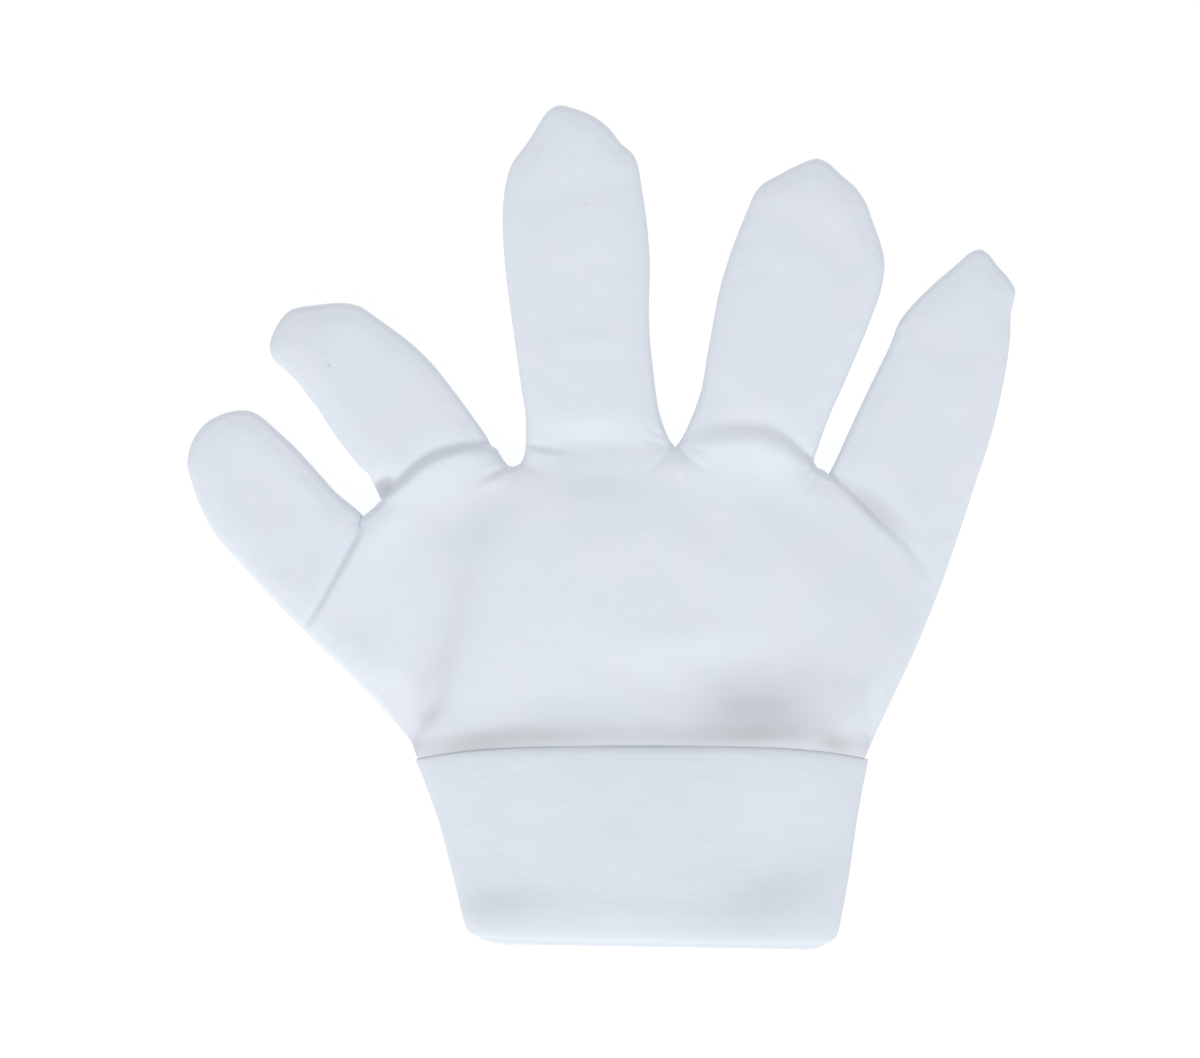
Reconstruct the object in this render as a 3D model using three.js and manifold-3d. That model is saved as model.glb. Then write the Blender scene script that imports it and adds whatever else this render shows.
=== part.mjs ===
// A plain white costume glove with five fingers, lying on a surface with the back of the hand up.
// Two hand panels cut to one outline are sewn round their edge. A cuff folded double lies over their lower edges,
// which end just above its inner layer. Millimetres, +Z up, fingers towards +Y, thumb towards -X, wrist opening
// towards -Y.
import * as THREE from "three";
import { mergeVertices } from "three/addons/utils/BufferGeometryUtils.js";
import Module from "manifold-3d";

// Driving dimensions.
const fabric = 1.0; // thickness of the knit
const gap = 0.3; // between sewn pieces
const slotGap = 0.4; // round the hand panels' lower edges where the cuff lies over them
const seamHeight = 4.5; // side seam above the surface that the glove lies on
const fullness = 0.8; // 1 gives an oval section, less a flatter one with rounder sides
const pointsAroundHand = 34; // alike on the hand and the cuff, so that their layers lie side by side
const pointsAroundFinger = 20;

// The cuff lies from its folded lower edge at the wrist opening to its free upper edge round the hand.
const cuffFoldY = -100.6;
const cuffTopY = -56.6; // at the two upper corners
const cuffBow = 5; // the upper edge rises this much from its corners to its middle
const cuffTilt = 0.012; // the folded edge runs down a little towards the little finger
const cuffMiddleY = -79.5; // the tilt fades out here
const cuffInnerTopY = -66.0; // the cuff's inner layer ends here, just below the hand panels' edges
const cuffWall = 2 * fabric + 0.2; // both layers together
const foldHeight = 2; // the fold rounds off over this height
const foldCorner = { across: 0.4, along: 0.6 }; // how far the fold's two corners are cut back
const edgeRounding = 0.5; // the same at the cuff's upper edge
const handInset = fabric + slotGap; // the hand lies this far inside the cuff's outer surface

// The cuff's outer surface: left and right edge in plan, and height of its top above the seam.
const cuffOutline = [
  { y: -100.6, left: -25.0, right: 53.5, crown: 5.4 },
  { y: -99.4, left: -29.2, right: 55.0, crown: 5.8 },
  { y: -96.5, left: -32.8, right: 56.6, crown: 6.2 },
  { y: -87.5, left: -34.8, right: 59.0, crown: 6.6 },
  { y: -79.5, left: -36.5, right: 60.2, crown: 6.8 },
  { y: -68.0, left: -39.6, right: 61.8, crown: 6.9 },
  { y: -60.0, left: -42.9, right: 63.4, crown: 7.0 },
  { y: -56.6, left: -44.2, right: 64.2, crown: 7.0 },
];

// The palm from the cuff to the webs of the fingers, as ribs across the hand.
const palmRibs = [
  { y: -47.0, left: -48.6, right: 66.8, crown: 6.4, rest: 0 },
  { y: -40.0, left: -54.8, right: 70.0, crown: 7.6, rest: 0 },
  { y: -31.0, left: -63.6, right: 74.0, crown: 8.8, rest: 0 },
  { y: -22.0, left: -72.6, right: 78.0, crown: 9.6, rest: 0 },
  { y: -12.0, left: -67.0, right: 81.2, crown: 10.0, rest: 0 },
  { y: -2.0, left: -61.0, right: 73.0, crown: 10.0, rest: 0 },
  { y: 6.0, left: -54.5, right: 64.0, crown: 9.4, rest: 0 },
  { y: 12.0, left: -45.5, right: 57.5, crown: 8.4, rest: 0 },
  { y: 16.0, left: -37.0, right: 52.0, crown: 7.0, rest: 0 },
  { y: 18.4, left: -25.0, right: 47.0, crown: 5.0, rest: 0 },
  { y: 19.6, left: -18.0, right: 40.0, crown: 2.6, rest: 0 },
];

// Soft dents in the palm's upper side: place, the way each runs in degrees to the right of +Y, its half length and
// half width, and its depth. A negative depth is a swell.
const palmDents = [
  { x: 42, y: -39, turn: 35, length: 13, width: 8, depth: 1.8 }, // above the cuff, on the little finger's side
  { x: -22, y: -45, turn: 85, length: 20, width: 5, depth: 0.8 }, // above the cuff, on the thumb's side
  { x: -27, y: -16, turn: 10, length: 27, width: 9, depth: 0.9 }, // long shallow dent below the index finger
  { x: -49, y: -14, turn: 25, length: 22, width: 8, depth: -0.7 }, // swell beside it at the thumb's root
];

// Each finger as ribs from its root inside the palm to its tip: centre, full width, the way it points in degrees
// to the right of +Y, and height of its top above the seam. The roots stand up into the palm's arched edge.
const fingerRibs = {
  thumb: [
    { x: -49.0, y: -30.0, width: 14.0, turn: -38, crown: 4.6 },
    { x: -57.0, y: -20.0, width: 24.4, turn: -38, crown: 4.8 },
    { x: -64.5, y: -11.0, width: 28.6, turn: -38, crown: 4.8 },
    { x: -72.5, y: -1.4, width: 30.0, turn: -38, crown: 4.8 },
    { x: -79.8, y: 6.5, width: 29.6, turn: -37, crown: 4.8 },
    { x: -85.0, y: 13.2, width: 27.2, turn: -34, crown: 4.6 },
    { x: -88.0, y: 18.6, width: 24.0, turn: -30, crown: 4.4 },
    { x: -90.0, y: 22.6, width: 19.8, turn: -28, crown: 3.8 },
    { x: -91.0, y: 25.6, width: 13.6, turn: -26, crown: 2.8 },
    { x: -91.6, y: 28.0, width: 6.0, turn: -26, crown: 1.4 },
  ],
  index: [
    { x: -25.0, y: 4.0, width: 28.0, turn: -40, crown: 6.4 },
    { x: -35.5, y: 13.5, width: 26.0, turn: -40, crown: 5.6 },
    { x: -45.6, y: 23.8, width: 29.8, turn: -41, crown: 4.8 },
    { x: -54.0, y: 33.0, width: 29.4, turn: -44, crown: 4.8 },
    { x: -61.6, y: 40.6, width: 27.0, turn: -49, crown: 4.8 },
    { x: -67.4, y: 44.8, width: 23.2, turn: -55, crown: 4.4 },
    { x: -72.6, y: 46.8, width: 17.6, turn: -60, crown: 3.8 },
    { x: -76.2, y: 47.2, width: 12.4, turn: -65, crown: 2.8 },
    { x: -78.4, y: 47.4, width: 6.5, turn: -68, crown: 1.4 },
  ],
  middle: [
    { x: -1.0, y: 4.0, width: 34.0, turn: 0, crown: 7.6 },
    { x: -1.2, y: 17.0, width: 34.0, turn: 0, crown: 7.4 },
    { x: -1.6, y: 25.0, width: 33.6, turn: 0, crown: 5.8 },
    { x: -2.4, y: 29.0, width: 33.0, turn: -2, crown: 5.2 },
    { x: -5.0, y: 52.6, width: 34.2, turn: -2, crown: 5.0 },
    { x: -6.0, y: 68.6, width: 35.2, turn: -2, crown: 5.0 },
    { x: -6.6, y: 82.6, width: 33.4, turn: -2, crown: 4.8 },
    { x: -6.4, y: 88.4, width: 29.4, turn: -2, crown: 4.4 },
    { x: -7.2, y: 94.6, width: 21.0, turn: -4, crown: 3.6 },
    { x: -8.2, y: 99.0, width: 12.6, turn: -6, crown: 2.4 },
    { x: -8.8, y: 101.2, width: 6.0, turn: -8, crown: 1.2 },
  ],
  ring: [
    { x: 32.0, y: 4.0, width: 30.0, turn: 12, crown: 7.4 },
    { x: 35.4, y: 17.0, width: 31.4, turn: 12, crown: 7.0 },
    { x: 37.2, y: 24.6, width: 32.0, turn: 12, crown: 5.7 },
    { x: 38.6, y: 29.0, width: 32.6, turn: 13, crown: 5.2 },
    { x: 45.4, y: 50.0, width: 36.6, turn: 14, crown: 5.0 },
    { x: 49.2, y: 63.0, width: 37.2, turn: 13, crown: 5.0 },
    { x: 50.6, y: 74.0, width: 32.6, turn: 10, crown: 4.6 },
    { x: 51.0, y: 81.0, width: 24.4, turn: 8, crown: 3.8 },
    { x: 51.0, y: 85.8, width: 14.2, turn: 5, crown: 2.6 },
    { x: 51.2, y: 88.2, width: 6.0, turn: 4, crown: 1.4 },
  ],
  little: [
    { x: 55.0, y: -26.0, width: 26.0, turn: 24, crown: 5.2 },
    { x: 64.4, y: -6.0, width: 37.4, turn: 24, crown: 5.6 },
    { x: 73.0, y: 14.0, width: 33.2, turn: 24, crown: 4.8 },
    { x: 80.8, y: 33.7, width: 31.0, turn: 22, crown: 4.8 },
    { x: 84.8, y: 46.3, width: 27.6, turn: 19, crown: 4.6 },
    { x: 88.6, y: 55.6, width: 21.0, turn: 16, crown: 3.8 },
    { x: 91.0, y: 61.4, width: 14.4, turn: 12, crown: 2.8 },
    { x: 91.6, y: 65.6, width: 6.0, turn: 6, crown: 1.4 },
  ],
};

const wasm = await Module();
wasm.setup();

// A closed three.js geometry as a solid that can be joined and cut.
function solidOf(geometry) {
  const shape = geometry.clone();
  shape.deleteAttribute("normal");
  shape.deleteAttribute("uv");
  const merged = mergeVertices(shape, 1e-4);
  return new wasm.Manifold(
    new wasm.Mesh({
      numProp: 3,
      vertProperties: merged.attributes.position.array,
      triVerts: new Uint32Array(merged.index.array),
    }),
  );
}

function geometryOf(solid) {
  const mesh = solid.getMesh();
  const geometry = new THREE.BufferGeometry();
  geometry.setAttribute("position", new THREE.BufferAttribute(mesh.vertProperties, 3));
  geometry.setIndex(new THREE.BufferAttribute(mesh.triVerts, 1));
  return geometry;
}

// How far the palm's upper side is pressed in at a point of its plan.
function dentAt(x, y) {
  return palmDents.reduce((sum, dent) => {
    const angle = THREE.MathUtils.degToRad(dent.turn);
    const [dx, dy] = [x - dent.x, y - dent.y];
    const along = (dx * Math.sin(angle) + dy * Math.cos(angle)) / dent.length;
    const across = (dx * Math.cos(angle) - dy * Math.sin(angle)) / dent.width;
    return sum + dent.depth * Math.exp(-along * along - across * across);
  }, 0);
}

// One section round a tube of cloth: two panels that meet at the side seams, flat where they rest on the surface.
function section({ x, y, width, turn = 0, crown, rest = 0, dented = false }, inset, count) {
  const angle = THREE.MathUtils.degToRad(turn);
  const points = [];
  for (let i = 0; i < count; i += 1) {
    const t = (2 * Math.PI * i) / count;
    const side = (width / 2 - inset) * Math.cos(t);
    const share = Math.abs(Math.sin(t)) ** fullness;
    const point = new THREE.Vector3(x + side * Math.cos(angle), y - side * Math.sin(angle), 0);
    if (Math.sin(t) >= 0) {
      point.z = seamHeight + share * (crown - inset - (dented ? dentAt(point.x, point.y) : 0));
    } else {
      point.z = Math.max(seamHeight - share * (crown - inset), rest + inset);
    }
    points.push(point);
  }
  return points;
}

// A closed surface through rings of equally many points. Without ends it joins its last ring to its first.
function skin(rings, closedEnds) {
  const count = rings[0].length;
  const positions = rings.flat().flatMap((p) => [p.x, p.y, p.z]);
  const index = [];
  const steps = closedEnds ? rings.length - 1 : rings.length;
  for (let r = 0; r < steps; r += 1) {
    const here = r * count;
    const next = ((r + 1) % rings.length) * count;
    for (let i = 0; i < count; i += 1) {
      const j = (i + 1) % count;
      index.push(here + i, next + j, here + j, here + i, next + i, next + j);
    }
  }
  if (closedEnds) {
    const last = (rings.length - 1) * count;
    for (let i = 1; i < count - 1; i += 1) {
      index.push(0, i, i + 1);
      index.push(last, last + i + 1, last + i);
    }
  }
  const geometry = new THREE.BufferGeometry();
  geometry.setAttribute("position", new THREE.Float32BufferAttribute(positions, 3));
  geometry.setIndex(index);
  return geometry;
}

// The cuff's outer surface at any height along the cuff.
function cuffAt(y) {
  const last = cuffOutline.length - 1;
  const above = cuffOutline.findIndex((row) => row.y >= y);
  const high = above < 0 ? last : Math.max(above, 1);
  const [a, b] = [cuffOutline[high - 1], cuffOutline[high]];
  const share = THREE.MathUtils.clamp((y - a.y) / (b.y - a.y), 0, 1);
  return {
    left: THREE.MathUtils.lerp(a.left, b.left, share),
    right: THREE.MathUtils.lerp(a.right, b.right, share),
    crown: THREE.MathUtils.lerp(a.crown, b.crown, share),
  };
}

// Ribs given by their left and right edge become ribs given by centre and width.
function acrossHand({ y, left, right, crown, rest, dented }) {
  return { x: (left + right) / 2, y, width: right - left, crown, rest, dented };
}

// Inside the cuff the hand follows the cuff's own outline.
function handInCuff(y) {
  const { left, right, crown } = cuffAt(y);
  return acrossHand({
    y,
    left: left + handInset,
    right: right - handInset,
    crown: crown - handInset,
    rest: handInset,
  });
}

// Rows of a table with one more row, on a smooth curve, between each two.
function withRowsBetween(rows) {
  return rows.flatMap((row, i) => {
    const next = rows[i + 1];
    if (!next) {
      return [row];
    }
    const before = rows[i - 1] ?? row;
    const after = rows[i + 2] ?? next;
    const halfway = Object.keys(row).map((key) => {
      return [key, (9 * (row[key] + next[key]) - before[key] - after[key]) / 16];
    });
    return [row, Object.fromEntries(halfway)];
  });
}

// A hollow's rib is drawn back from the tip by the thickness of the cloth.
function drawnBack(rib, inset) {
  const angle = THREE.MathUtils.degToRad(rib.turn ?? 0);
  return { ...rib, x: rib.x - inset * Math.sin(angle), y: rib.y - inset * Math.cos(angle) };
}

const handLowerY = cuffInnerTopY + slotGap;
const handLeavesCuffY = cuffTopY + 1; // up to here the hand keeps to the cuff's outline
const hollowOverrun = 3; // the hollow is carried this far out of the hand's open end
const narrowestHollow = 8; // a finger's hollow ends where the finger is this wide
const handAboveCuff = { y: -52.0, left: -45.0, right: 64.4, crown: 5.0, rest: handInset };

// The hand's whole form, or with an inset its hollow, whose wrist end reaches past the cloth and so stays open.
function handForm(inset) {
  const wristY = handLowerY - (inset > 0 ? hollowOverrun : 0);
  const palm = withRowsBetween(palmRibs).map((rib) => acrossHand({ ...rib, dented: true }));
  const widest = palm.reduce((a, b) => (b.width > a.width ? b : a));
  const ribs = [
    handInCuff(wristY),
    handInCuff(handLeavesCuffY),
    acrossHand(handAboveCuff),
    ...palm.map((rib) => (rib.y < widest.y ? rib : drawnBack(rib, inset))),
  ];
  let form = solidOf(skin(ribs.map((rib) => section(rib, inset, pointsAroundHand)), true));
  for (const finger of Object.values(fingerRibs)) {
    const wideEnough = finger.filter((rib) => inset === 0 || rib.width > narrowestHollow);
    const rings = wideEnough.map((rib) => section(drawnBack(rib, inset), inset, pointsAroundFinger));
    form = form.add(solidOf(skin(rings, true)));
  }
  return form;
}

const reach = 300; // more than the glove's size in any direction

// The part of a solid above or below the side seam.
function besideSeam(solid, above) {
  const box = new THREE.BoxGeometry(reach, reach, reach);
  const edge = seamHeight + (above ? gap / 2 : -gap / 2);
  box.translate(0, 0, edge + (above ? reach / 2 : -reach / 2));
  return solid.intersect(solidOf(box));
}

// The cuff's section from its upper edge down inside to the ledge that the hand panels' edges stand over, down its
// inner layer, round the fold and up its outer layer. Depth is measured inwards from the cuff's outer surface.
const foldTop = cuffFoldY + foldHeight;
const foldCornerY = cuffFoldY + foldCorner.along;
const cuffSection = [
  { depth: fabric / 2, y: cuffTopY, bow: cuffBow },
  { depth: fabric, y: cuffTopY - edgeRounding, bow: cuffBow },
  { depth: fabric, y: cuffInnerTopY, bow: 0 },
  { depth: cuffWall, y: cuffInnerTopY, bow: 0 },
  { depth: cuffWall, y: cuffMiddleY, bow: 0 },
  { depth: cuffWall, y: foldTop, bow: 0 },
  { depth: cuffWall - foldCorner.across, y: foldCornerY, bow: 0 },
  { depth: cuffWall / 2, y: cuffFoldY, bow: 0 },
  { depth: foldCorner.across, y: foldCornerY, bow: 0 },
  { depth: 0, y: foldTop, bow: 0 },
  { depth: 0, y: -96.5, bow: 0 },
  { depth: 0, y: -90.0, bow: 0 },
  { depth: 0, y: cuffMiddleY, bow: 0 },
  { depth: 0, y: -68.0, bow: 1.5 },
  { depth: 0, y: cuffTopY - edgeRounding, bow: cuffBow },
];

function cuffSolid() {
  const rings = cuffSection.map(({ depth, y, bow }) => {
    const { left, right, crown } = cuffAt(y);
    const middle = (left + right) / 2;
    const halfWidth = (right - left) / 2;
    const rib = { x: middle, y, width: right - left, crown };
    return section(rib, depth, pointsAroundHand).map((p) => {
      const share = (p.x - middle) / halfWidth;
      const toFold = THREE.MathUtils.clamp((cuffMiddleY - y) / (cuffMiddleY - cuffFoldY), 0, 1);
      p.y += bow * (1 - share * share) - toFold * cuffTilt * (p.x - middle);
      return p;
    });
  });
  return solidOf(skin(rings, false));
}

const knit = (name, colour, roughness) =>
  new THREE.MeshStandardMaterial({ name, color: colour, roughness, metalness: 0 });
const handKnit = knit("hand_knit", 0xdce4ee, 0.85);
const cuffKnit = knit("cuff_knit", 0xd9e0ea, 0.9);

function piece(name, solid, material) {
  const mesh = new THREE.Mesh(geometryOf(solid), material);
  mesh.name = name;
  return mesh;
}

const hand = handForm(0).subtract(handForm(fabric));
const glove = new THREE.Group();
glove.add(
  piece("back_panel", besideSeam(hand, true), handKnit),
  piece("palm_panel", besideSeam(hand, false), handKnit),
  piece("cuff", cuffSolid(), cuffKnit),
);

// The origin is the middle of the glove's outline, on the surface that it lies on.
const extent = new THREE.Box3().setFromObject(glove, true);
const middle = extent.getCenter(new THREE.Vector3());
glove.position.set(-middle.x, -middle.y, -extent.min.z);

export default glove;
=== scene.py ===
import math
import bpy
import bmesh
import numpy as np
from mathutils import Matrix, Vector
from mathutils.geometry import delaunay_2d_cdt
from mathutils.kdtree import KDTree


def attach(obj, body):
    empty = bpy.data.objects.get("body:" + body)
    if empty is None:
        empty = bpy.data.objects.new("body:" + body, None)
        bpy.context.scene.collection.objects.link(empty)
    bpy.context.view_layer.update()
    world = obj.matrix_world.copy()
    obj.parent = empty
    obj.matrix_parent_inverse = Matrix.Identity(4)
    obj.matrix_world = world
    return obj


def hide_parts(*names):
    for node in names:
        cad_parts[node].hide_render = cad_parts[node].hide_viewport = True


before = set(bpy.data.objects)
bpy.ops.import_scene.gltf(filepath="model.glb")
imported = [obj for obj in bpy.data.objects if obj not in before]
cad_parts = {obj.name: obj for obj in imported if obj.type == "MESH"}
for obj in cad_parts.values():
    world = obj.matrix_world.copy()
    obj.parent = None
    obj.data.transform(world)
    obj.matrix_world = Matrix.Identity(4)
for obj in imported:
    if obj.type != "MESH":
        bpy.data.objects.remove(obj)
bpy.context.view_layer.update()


# Camera
# It looks straight down on the glove, fingers up in the picture, from far enough that nothing looks tapered.
# The view is 288 mm wide, so that the glove fills four fifths of its height.
MM = 0.001
VIEW_WIDTH = 288 * MM
LENS, SENSOR = 150, 36

camera_data = bpy.data.cameras.new("camera")
camera_data.lens = LENS
camera_data.sensor_width = SENSOR
camera = bpy.data.objects.new("camera", camera_data)
camera.location = (0, 0, VIEW_WIDTH * LENS / SENSOR)
bpy.context.scene.collection.objects.link(camera)
bpy.context.scene.camera = camera


# Cuff
# A band of white knit with its brushed side out, folded double at the wrist opening. Its free upper edge lies
# over the hand in a bow, and its inner layer ends below the edges of the hand's panels. It comes first here
# because the panels are shaped to lie inside it.
SEAM = 3.8  # height of the side seam above the floor, in millimetres as all sizes below

# Left and right edge of the cuff in plan, and its top above the seam.
CUFF_ROWS = [
    dict(y=-99.2, left=-23.0, right=50.0, crown=2.6),
    dict(y=-99.0, left=-25.6, right=52.2, crown=3.2),
    dict(y=-98.6, left=-28.0, right=54.0, crown=3.8),
    dict(y=-98.0, left=-29.9, right=55.3, crown=4.3),
    dict(y=-97.2, left=-31.2, right=56.3, crown=4.7),
    dict(y=-95.5, left=-32.3, right=57.1, crown=5.3),
    dict(y=-92.0, left=-33.2, right=57.8, crown=5.8),
    dict(y=-88.0, left=-34.0, right=58.6, crown=5.9),
    dict(y=-80.0, left=-35.9, right=60.0, crown=6.1),
    dict(y=-70.0, left=-38.5, right=61.4, crown=6.3),
    dict(y=-62.0, left=-41.4, right=62.8, crown=6.5),
    dict(y=-58.1, left=-42.9, right=63.6, crown=6.5),
    dict(y=-56.8, left=-43.5, right=63.9, crown=6.4),
    dict(y=-56.0, left=-43.8, right=64.0, crown=6.2),
    dict(y=-55.5, left=-44.0, right=64.1, crown=5.95),
    dict(y=-55.2, left=-44.1, right=64.2, crown=5.65),
]
CUFF_TOP, CUFF_BOW = -55.2, 3.3  # its upper edge at the corners, and how far it rises between them
BOW_POWER = 4  # above 2, it rises beside the corners and runs flatter in the middle
BOW_FROM = -84.0  # below this the rows run straight across
TILT_FROM, CUFF_TILT = -79.5, 0.018  # below this they come to slope down to the right by so much
CUFF_FULLNESS = 0.6  # below 1, its cross-section is boxier than an ellipse
AROUND = 240  # points round it
OUTER_ROWS, INNER_ROWS, FOLD_STEPS = 56, 34, 20  # rows of its two layers and of the fold between them
EDGE_CLOSENESS = 1.6  # above 1, the outer rows are closer together at the upper edge
FOLD_Y, FOLD_DROP = -97.2, 2.0  # where the fold starts, and how far it bulges below that
CLEAR = 0.3  # air between the layers of cloth
THIN_EDGE, THIN_OVER = 0.2, 2.0  # at its upper edge the cloth thins to this share, over so many millimetres

# Soft dents: place, the way one runs in degrees to the right of +Y, half length, half width and depth. A
# negative depth is a swell. far: how many times wider it is on its far side. sharp: above 1, its middle is
# flatter and its edges are crisper.
CUFF_DENTS = [
    dict(x=-22, y=-84.5, turn=88, length=14, width=6.5, far=3, depth=1.9),
    dict(x=43, y=-79.5, turn=62, length=17, width=9, far=1.8, depth=3.1),
    dict(x=10, y=-86, turn=95, length=14, width=6, far=2, depth=0.4),
]
CUFF_PAINTED_SHADE = [  # painted shade, in the same columns
    dict(x=-26, y=-89.5, turn=88, length=9, width=5, depth=0.07),
    dict(x=12, y=-99, turn=91, length=50, width=3.5, depth=0.04),
    dict(x=40, y=-90.5, turn=70, length=16, width=7.5, depth=0.045),
]
CUFF_CLOTH = 0.9  # thickness of the knit
CUFF_INNER_TOP = -66.5  # where the inner layer ends
CUFF_COLOURS = (0.63, 0.70, 0.79, 1), (0.76, 0.79, 0.845, 1)
SHADE_AND_SPECK_COLOUR = (0.12, 0.07, 0.01, 1)  # painted shade, and the specks, mix so much of this into the cloth's colour
STREAKS, PATCHES = (200, 900, 1), (90, 170, 1)  # how often they repeat in a metre round the cuff and along it


def ease(value):
    """0 below 0 and 1 above 1, smooth between them."""
    q = np.clip(value, 0, 1)
    return q * q * (3 - 2 * q)


def dents_at(dents, xy):
    """How far the cloth is pressed in at each point."""
    total = np.zeros(len(xy))
    for dent in dents:
        angle = math.radians(dent["turn"])
        dx, dy = xy[:, 0] - dent["x"], xy[:, 1] - dent["y"]
        along = (dx * math.sin(angle) + dy * math.cos(angle)) / dent["length"]
        across = (dx * math.cos(angle) - dy * math.sin(angle)) / dent["width"]
        across = np.where(across < 0, across / dent.get("far", 1), across)
        total += dent["depth"] * np.exp(-(along ** 2 + across ** 2) ** dent.get("sharp", 1))
    return total


def cuff_row(y):
    """The cuff's edges and crown at one height."""
    heights = [row["y"] for row in CUFF_ROWS]
    return [np.interp(y, heights, [row[key] for row in CUFF_ROWS]) for key in ("left", "right", "crown")]


def bow_at(y):
    """How far the middle of a row rises above its ends."""
    return CUFF_BOW * ease((y - BOW_FROM) / (CUFF_TOP - BOW_FROM))


def cuff_ring(y, depth, bow):
    """One ring of points round the cuff, that far inside its outer surface."""
    left, right, crown = cuff_row(y)
    angle = np.linspace(0, 2 * math.pi, AROUND, endpoint=False)
    centre, half = (left + right) / 2, (right - left) / 2
    across = np.cos(angle)
    x = centre + (half - depth) * across
    share = np.abs(np.sin(angle)) ** CUFF_FULLNESS
    toward_fold = np.clip((TILT_FROM - y) / (TILT_FROM - CUFF_ROWS[0]["y"]), 0, 1)
    row_y = y + bow * (1 - across ** BOW_POWER) - toward_fold * CUFF_TILT * (x - centre)
    top = share * (crown - depth)
    press = dents_at(CUFF_DENTS, np.column_stack([x, row_y])) * share
    z = np.where(np.sin(angle) >= 0, top - press, np.maximum(-top, -SEAM + depth))
    return np.column_stack([x, row_y, z + SEAM])


outer_rows = CUFF_TOP + (FOLD_Y - CUFF_TOP) * np.linspace(0, 1, OUTER_ROWS) ** EDGE_CLOSENESS
inner_rows = np.linspace(FOLD_Y, CUFF_INNER_TOP, INNER_ROWS)
fold_depth = 2 * CUFF_CLOTH + CLEAR
rings = [cuff_ring(y, 0, bow_at(y)) for y in outer_rows]
for k in range(1, FOLD_STEPS):
    turn = math.pi * k / FOLD_STEPS
    rings.append(cuff_ring(FOLD_Y - FOLD_DROP * math.sin(turn), fold_depth * (1 - math.cos(turn)) / 2, 0))
rings += [cuff_ring(y, fold_depth, 0) for y in inner_rows]


def banded(name, rings, painted_shades):
    """A band through rings of equally many points, with its own UV in metres round and along it."""
    bm = bmesh.new()
    uv = bm.loops.layers.uv.new("cut")
    painted_shade = bm.verts.layers.float.new("painted_shade")
    first = bmesh.ops.create_circle(bm, segments=len(rings[0]), radius=1)["verts"]
    for vert, p in zip(first, rings[0]):
        vert.co = Vector(p) * MM
    row = list(first)
    place = {v: (k, 0) for k, v in enumerate(row)}
    walked = 0.0
    for before, ring in zip(rings, rings[1:]):
        walked += float(np.linalg.norm(ring - before, axis=1).mean())
        edges = [bm.edges.get((row[k], row[(k + 1) % len(row)])) for k in range(len(row))]
        out = bmesh.ops.extrude_edge_only(bm, edges=edges)["geom"]
        fresh = {v for v in out if isinstance(v, bmesh.types.BMVert)}
        upper = []
        for v in row:
            upper.append(next(e.other_vert(v) for e in v.link_edges if e.other_vert(v) in fresh))
        for k, (v, p) in enumerate(zip(upper, ring)):
            v.co = Vector(p) * MM
            place[v] = (k, walked)
        row = upper
    # Painted shade, on the cuff's upper side only.
    for vert in bm.verts:
        on_top = vert.co.z > SEAM * MM
        vert[painted_shade] = float(dents_at(painted_shades, np.array([vert.co[:2]]) / MM)[0]) if on_top else 0.0
    around = len(row)
    step = float(np.linalg.norm(np.roll(rings[0], -1, 0) - rings[0], axis=1).mean())
    for face in bm.faces:
        face.smooth = True
        columns = [place[loop.vert][0] for loop in face.loops]
        wraps = max(columns) - min(columns) > 1
        for loop, column in zip(face.loops, columns):
            column = around if wraps and column == 0 else column
            loop[uv].uv = (column * step * MM, place[loop.vert][1] * MM)
    mesh = bpy.data.meshes.new(name)
    bm.to_mesh(mesh)
    bm.free()
    piece = bpy.data.objects.new(name, mesh)
    bpy.context.scene.collection.objects.link(piece)
    return piece


def give_thickness(piece, thickness, thinned=""):
    """The wall goes inwards from the cloth's outer side. thinned: a vertex group with its share of that."""
    wall = piece.modifiers.new("wall", "SOLIDIFY")
    wall.thickness = thickness * MM
    wall.offset = -1
    wall.use_rim = True
    wall.use_quality_normals = True
    wall.vertex_group = thinned


def nodes_of(material):
    """The node tree that a material starts with, and the Principled shader in it."""
    material.use_nodes = True
    tree = material.node_tree
    return tree, tree.nodes["Principled BSDF"]


def node(tree, kind, inputs=(), **settings):
    """A node with its settings, and its inputs given as values or as sockets to link."""
    made = tree.nodes.new(kind)
    for key, value in settings.items():
        setattr(made, key, value)
    for key, value in dict(inputs).items():
        if isinstance(value, bpy.types.NodeSocket):
            tree.links.new(value, made.inputs[key])
        else:
            made.inputs[key].default_value = value
    return made


def noise(tree, place, scale, detail):
    """A noise on the flat cut, with so many waves in a metre each way."""
    stretched = node(tree, "ShaderNodeMapping", {"Vector": place, "Scale": scale}).outputs["Vector"]
    made = node(tree, "ShaderNodeTexNoise", {"Vector": stretched, "Scale": 1.0, "Detail": detail})
    return made.outputs["Fac"]


def mixed(tree, share, first, second):
    """A colour between two others."""
    made = node(tree, "ShaderNodeMix", {"Factor": share, 6: first, 7: second}, data_type="RGBA")
    return made.outputs[2]


def painted_shade_of(tree):
    """The share of painted shade, lessened where highlight is painted, that the piece's own attribute gives.
    """
    return node(tree, "ShaderNodeAttribute", attribute_name="painted_shade").outputs["Fac"]


def darkened(tree, colour, share):
    """A colour made darker by that share."""
    return mixed(tree, share, colour, SHADE_AND_SPECK_COLOUR)


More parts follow.
